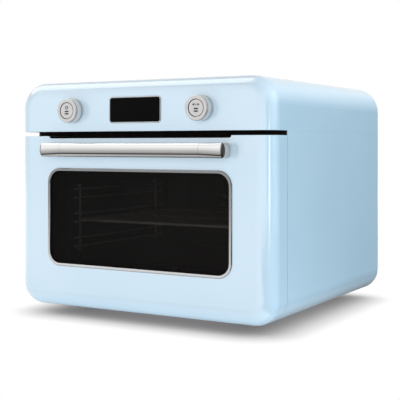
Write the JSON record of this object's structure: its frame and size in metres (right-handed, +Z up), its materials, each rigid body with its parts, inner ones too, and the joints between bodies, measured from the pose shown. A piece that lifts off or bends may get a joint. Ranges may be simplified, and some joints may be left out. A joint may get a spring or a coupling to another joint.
{
  "type": "toaster oven",
  "caption": "Countertop convection oven with a drop-down glass door, bar handle, turning and pressing knobs, display, heaters, fan, and a sliding wire rack.",
  "frame": {"origin": "on the counter, below the middle of the overall box", "axes": "+Z up, +X to the user's right, the door faces -Y"},
  "size_m": [0.495, 0.509, 0.403],
  "materials": {
    "paint": "pale blue satin enamel",
    "liner_steel": "brushed stainless sheet",
    "plain_steel": "zinc-plated pressed sheet",
    "bright_steel": "bright machined steel",
    "chrome": "polished plate",
    "satin_aluminium": "satin anodised",
    "dark_glass": "smoked toughened glass",
    "clear_glass": "clear toughened glass",
    "display_glass": "black display window",
    "heater_sheath": "oxidised heater sheath",
    "insulation": "glass-fibre blanket",
    "gasket": "woven silicone gasket",
    "rubber": "matt rubber",
    "black_plastic": "moulded black plastic",
    "circuit_board": "green laminate"
  },
  "bodies": {
    "casing": {"base_pan": "plain_steel", "cavity_back": "liner_steel", "cavity_liner": "liner_steel", "control_board": "circuit_board", "cord_gland": "black_plastic", "display_bezel": "chrome", "display_glass": "display_glass", "display_module": "black_plastic", "door_gasket": "gasket", "fan_cover": "liner_steel", "fan_motor": "plain_steel", "feet": "black_plastic", "foot_pads": "rubber", "foot_screws": "bright_steel", "front_frame": "liner_steel", "grill_element": "heater_sheath", "grill_strap": "plain_steel", "hinge_pins": "bright_steel", "hinge_screws": "bright_steel", "insulation_wrap": "insulation", "lamp_holder": "black_plastic", "lamp_lens": "clear_glass", "left_encoder": "black_plastic", "right_encoder": "black_plastic", "left_hinge_bracket": "plain_steel", "right_hinge_bracket": "plain_steel", "left_knob_base": "satin_aluminium", "right_knob_base": "satin_aluminium", "left_rack_support": "chrome", "right_rack_support": "chrome", "lower_casing": "paint", "motor_bracket": "plain_steel", "power_board": "circuit_board", "rear_panel": "plain_steel", "rear_panel_screws": "bright_steel", "ring_heater": "heater_sheath", "temperature_probe": "bright_steel", "top_cover": "paint", "upper_deck": "plain_steel"},
    "door": {"door_shell": "paint", "door_inner_panel": "liner_steel", "door_panel_screws": "bright_steel", "window_trim": "chrome", "outer_glass": "dark_glass", "inner_glass": "clear_glass", "inner_glass_clips": "plain_steel", "left_door_hinge_yoke": "plain_steel", "right_door_hinge_yoke": "plain_steel", "handle_bar": "satin_aluminium", "handle_posts": "satin_aluminium", "handle_screws": "bright_steel"},
    "left_knob": {"left_knob": "satin_aluminium"},
    "right_knob": {"right_knob": "satin_aluminium"},
    "left_button": {"left_button": "satin_aluminium"},
    "right_button": {"right_button": "satin_aluminium"},
    "fan_rotor": {"fan_shaft": "bright_steel", "convection_fan": "plain_steel", "cooling_impeller": "plain_steel", "motor_rotor": "plain_steel"},
    "rack": {"wire_rack": "chrome"}
  },
  "joints": [
    {"name": "door_hinge", "type": "hinge", "parent": "casing", "child": "door", "pos_m": [0, -0.2065, 0.051], "axis": [1, 0, 0], "range_deg": [0, 90]},
    {"name": "left_knob_turn", "type": "hinge", "parent": "casing", "child": "left_knob", "pos_m": [-0.126, -0.2265, 0.3525], "axis": [0, -1, 0], "continuous": true},
    {"name": "right_knob_turn", "type": "hinge", "parent": "casing", "child": "right_knob", "pos_m": [0.126, -0.2265, 0.3525], "axis": [0, -1, 0], "continuous": true},
    {"name": "left_button_press", "type": "slide", "parent": "casing", "child": "left_button", "axis": [0, 1, 0], "range_m": [0, 0.002], "stiffness_N_per_m": 600, "springref_m": -0.002},
    {"name": "right_button_press", "type": "slide", "parent": "casing", "child": "right_button", "axis": [0, 1, 0], "range_m": [0, 0.002], "stiffness_N_per_m": 600, "springref_m": -0.002},
    {"name": "fan_spin", "type": "hinge", "parent": "casing", "child": "fan_rotor", "pos_m": [0, 0.16, 0.174], "axis": [0, -1, 0], "continuous": true},
    {"name": "rack_slide", "type": "slide", "parent": "casing", "child": "rack", "axis": [0, -1, 0], "range_m": [-0.004, 0.014]}
  ]
}
